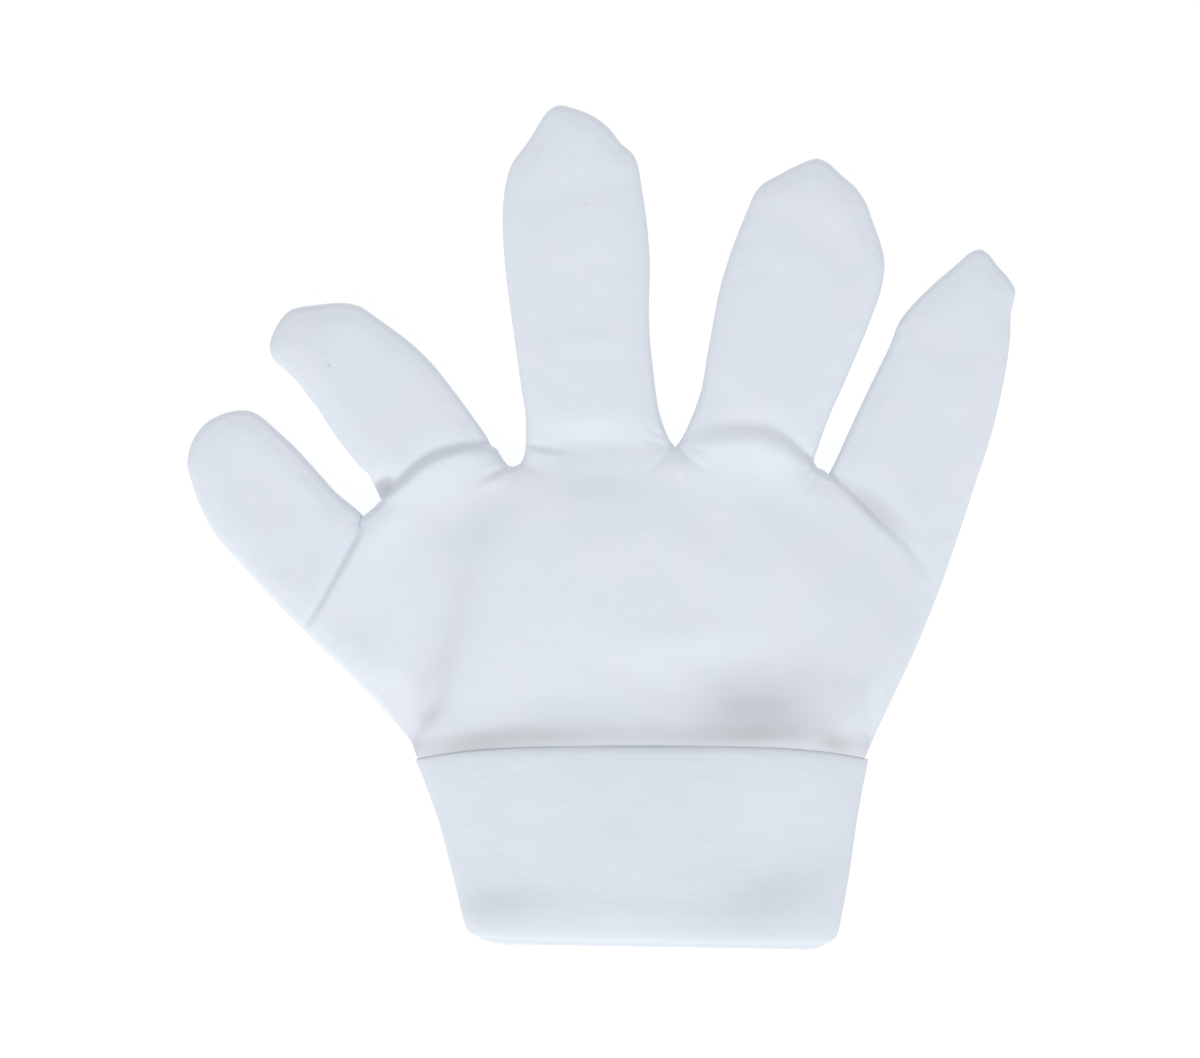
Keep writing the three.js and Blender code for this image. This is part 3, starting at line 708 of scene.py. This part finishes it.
def hand_knit_material():
    """Smooth matt stretch knit: fine columns of stitches, a soft unevenness and a ridge of seam allowance."""
    material = bpy.data.materials.new("hand_knit")
    tree, shader = nodes_of(material)
    place = node(tree, "ShaderNodeUVMap", uv_map="cut").outputs["UV"]
    colour = mixed(tree, noise(tree, place, MOTTLE, 2.0), *HAND_COLOURS)
    # Painted shade from the piece's attribute, with the specks added to it, darkens the cloth's colour.
    shade_and_specks = painted_shade_of(tree)
    for spot in SPOTS:
        centre = (spot["x"] * MM, spot["y"] * MM, 0)
        away = node(tree, "ShaderNodeVectorMath", {0: place, 1: centre}, operation="DISTANCE")
        share = fading(tree, away.outputs["Value"], 0.0, spot["radius"] * MM, spot["depth"])
        shade_and_specks = node(tree, "ShaderNodeMath", {0: shade_and_specks, 1: share}, operation="ADD").outputs[0]
    tree.links.new(darkened(tree, colour, shade_and_specks), shader.inputs["Base Color"])
    columns = node(
        tree, "ShaderNodeTexWave", {"Vector": place, "Scale": 200.0, "Distortion": 0.0},
        bands_direction="X", wave_type="BANDS",
    ).outputs["Fac"]
    rows = node(
        tree, "ShaderNodeTexWave", {"Vector": place, "Scale": 260.0, "Distortion": 1.0, "Detail": 1.0},
        bands_direction="Y", wave_type="BANDS",
    ).outputs["Fac"]
    stitches = node(tree, "ShaderNodeMath", {0: columns, 1: rows}, operation="MULTIPLY").outputs[0]
    unevenness = noise(tree, place, UNEVENNESS, 3.0)
    fine = node(tree, "ShaderNodeBump", {"Height": stitches, "Distance": 0.00003, "Strength": 0.4})
    from_seam = node(tree, "ShaderNodeAttribute", attribute_name="from_seam").outputs["Fac"]
    allowance = fading(tree, from_seam, ALLOWANCE[0] * MM, ALLOWANCE[1] * MM, 1.0)
    ridge = node(
        tree, "ShaderNodeBump",
        {"Height": allowance, "Distance": 0.00025, "Strength": 0.25, "Normal": fine.outputs["Normal"]},
    )
    soft = node(
        tree, "ShaderNodeBump",
        {"Height": unevenness, "Distance": 0.00012, "Strength": 0.5, "Normal": ridge.outputs["Normal"]},
    )
    tree.links.new(soft.outputs["Normal"], shader.inputs["Normal"])
    shader.inputs["Roughness"].default_value = 0.85
    shader.inputs["Specular IOR Level"].default_value = 0.2
    shader.inputs["Sheen Weight"].default_value = 0.15
    shader.inputs["Sheen Roughness"].default_value = 0.5
    return material


# The upper panel's cloth settles by simulation: a coarse net of it, held at the seam, is a little slack, and
# air lifts it. Its moves, none longer than the cap, are carried over to the fine net.
SIM_NET, SIM_FRAMES = 2.4, 20
SIM_MASS, SIM_STIFFNESS, SIM_BENDING = 0.02, 8, 0.05
SIM_AIR, SIM_SLACK = 0.1, 0.003
SIM_CAP = 0.3
FOLD_REACH = 7.0  # what it moves evenly over more than this isn't a fold, and is left out
SEAM_FADE, WRIST_FADE = 4.0, 6.0  # its moves fade out over these lengths, towards the seam and the cuff
MOVES_FROM = -52.0  # nothing moves below this


def simulated(points, triangles, held):
    """Where a cloth simulation takes each point, in millimetres."""
    nothing = np.zeros(len(points))
    trial = cloth_piece("trial", points, triangles, points[:, :2], nothing, nothing)
    group = trial.vertex_groups.new(name="held")
    group.add([int(i) for i in np.flatnonzero(held)], 1, "REPLACE")
    cloth = trial.modifiers.new("cloth", "CLOTH")
    settings = cloth.settings
    settings.quality = 6
    settings.mass = SIM_MASS
    settings.tension_stiffness = settings.compression_stiffness = settings.shear_stiffness = SIM_STIFFNESS
    settings.bending_stiffness = SIM_BENDING
    settings.vertex_group_mass = "held"
    settings.use_pressure = True
    settings.uniform_pressure_force = SIM_AIR
    settings.shrink_min = -SIM_SLACK
    settings.effector_weights.gravity = 0
    cloth.point_cache.frame_end = SIM_FRAMES
    for step in range(1, SIM_FRAMES + 1):
        bpy.context.scene.frame_set(step)
    settled_trial = trial.evaluated_get(bpy.context.evaluated_depsgraph_get()).to_mesh()
    places = np.empty(3 * len(points))
    settled_trial.vertices.foreach_get("co", places)
    bpy.context.scene.frame_set(1)
    mesh = trial.data
    bpy.data.objects.remove(trial)
    bpy.data.meshes.remove(mesh)
    return places.reshape(-1, 3) / MM


def carried_over(moves, points, others, spread):
    """The moves of some points, evened out over that spread, for the points of another net."""
    found = []
    for block in np.array_split(others, len(others) // 1000 + 1):
        share = np.exp(-(np.linalg.norm(block[:, None] - points, axis=2) / spread) ** 2)
        found.append(share @ moves / share.sum(1)[:, None])
    return np.vstack(found)


moved = np.zeros((len(laid), 3))
coarse_seam = np.vstack([curve_through(run, SIM_NET)[:-1] for run in OUTLINE] + [[OUTLINE[-1][-1]]])
coarse_loop = np.vstack([coarse_seam, wrist_line[::2]])
inner = hexagonal(SIM_NET)
inner = inner[inside(outline, inner)]
inner = inner[nearest_on(coarse_loop, inner, closed=True)[0] > NET_GAP * SIM_NET]
coarse, coarse_triangles = netted(coarse_loop, inner)
start = np.column_stack([coarse, back_height(coarse, nearest_on(seam_line, coarse)[0])])
start[:len(coarse_seam), 2] = 0
moves = simulated(start, coarse_triangles, np.arange(len(coarse)) < len(coarse_loop)) - start
moves = moves - carried_over(moves, coarse, coarse, FOLD_REACH)
length = np.linalg.norm(moves, axis=1)
moves *= np.minimum(1, SIM_CAP / np.maximum(length, 1e-9))[:, None]
free_share = ease(from_seam / SEAM_FADE) * ease((laid[:, 1] - MOVES_FROM) / WRIST_FADE)
moved = carried_over(moves, coarse, laid, SIM_NET) * free_share[:, None]

hand_knit = hand_knit_material()
back_points = np.column_stack([laid, height + SEAM]) + moved
# Painted shade and light on the back: the table's patches, a painted shadow along the cuff's edge and a
# painted highlight on the far sides' rims, over an even painted darkening.
from_cuff_shadow = (past_cuff(laid)[0] - CUFF_SHADOW_AT) / CUFF_SHADOW_REACH
painted_shades = BASE_SHADE + dents_at(PAINTED_LIGHT_AND_SHADE, laid) + CUFF_SHADOW * np.exp(-from_cuff_shadow ** 2)
painted_shades += RIM_HIGHLIGHT * np.clip(outward[:, 1], 0, 1) * np.exp(-(from_seam / RIM_HIGHLIGHT_REACH) ** 2)
back = cloth_piece("back_of_hand", back_points, triangles, cut, from_seam, painted_shades)
back.data.materials.append(hand_knit)
give_thickness(back, CLOTH)
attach(back, "root")
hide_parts("back_panel")


# Palm side
# The lower panel, of the same knit, cut to the same outline and sewn to the upper one. It lies flat on the
# floor and turns up to the seam round its edge.
PRESSED = 1.0  # the curve up to the seam would end this far below the floor, so the panel lies flat sooner
lower = -(SEAM + PRESSED) * rounded(from_seam / EDGE_ROUND, FLATNESS)
inside_cuff = CUFF_CLOTH + CLEAR - np.maximum(laid[:, 1] - CUFF_TOP, 0)
lower = np.maximum(lower, -SEAM + np.maximum(inside_cuff, 0))
lower[on_seam] = 0
lower = settled(lower, triangles, from_seam < EVEN_FROM, 2)
palm_points = np.column_stack([laid, lower + SEAM])
turned = [corners[::-1] for corners in triangles]
# The palm side carries only the even painted darkening.
palm = cloth_piece("palm_side", palm_points, turned, cut, from_seam, np.full(len(laid), BASE_SHADE))
palm.data.materials.append(hand_knit)
give_thickness(palm, CLOTH)
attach(palm, "root")
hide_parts("palm_panel")


# Floor and light
# A plain white light table, soft white light from all round and one large soft lamp from the wrist's side.
FLOOR_SIZE = 3.0

bm = bmesh.new()
bmesh.ops.create_grid(bm, x_segments=1, y_segments=1, size=FLOOR_SIZE / 2)
floor_mesh = bpy.data.meshes.new("floor")
bm.to_mesh(floor_mesh)
bm.free()
floor = bpy.data.objects.new("floor", floor_mesh)
bpy.context.scene.collection.objects.link(floor)
floor_paint = bpy.data.materials.new("floor_paint")
_, floor_shader = nodes_of(floor_paint)
floor_shader.inputs["Base Color"].default_value = (0.22, 0.22, 0.22, 1)
floor_shader.inputs["Emission Color"].default_value = (1, 1, 1, 1)
floor_shader.inputs["Emission Strength"].default_value = 0.84
floor_shader.inputs["Roughness"].default_value = 0.9
floor_shader.inputs["Specular IOR Level"].default_value = 0.1
floor_mesh.materials.append(floor_paint)

world = bpy.data.worlds.new("soft_light")
bpy.context.scene.world = world
world.use_nodes = True
world.node_tree.nodes["Background"].inputs["Color"].default_value = (1, 1, 1, 1)
world.node_tree.nodes["Background"].inputs["Strength"].default_value = 0.72

lamp_data = bpy.data.lights.new("lamp", "AREA")
lamp_data.shape = "DISK"
lamp_data.size = 0.7
lamp_data.energy = 7
lamp = bpy.data.objects.new("lamp", lamp_data)
lamp.location = (-0.1, -1.0, 0.8)
lamp.rotation_euler = (-lamp.location).to_track_quat("-Z", "Y").to_euler()
bpy.context.scene.collection.objects.link(lamp)
bpy.context.scene.view_settings.view_transform = "Standard"
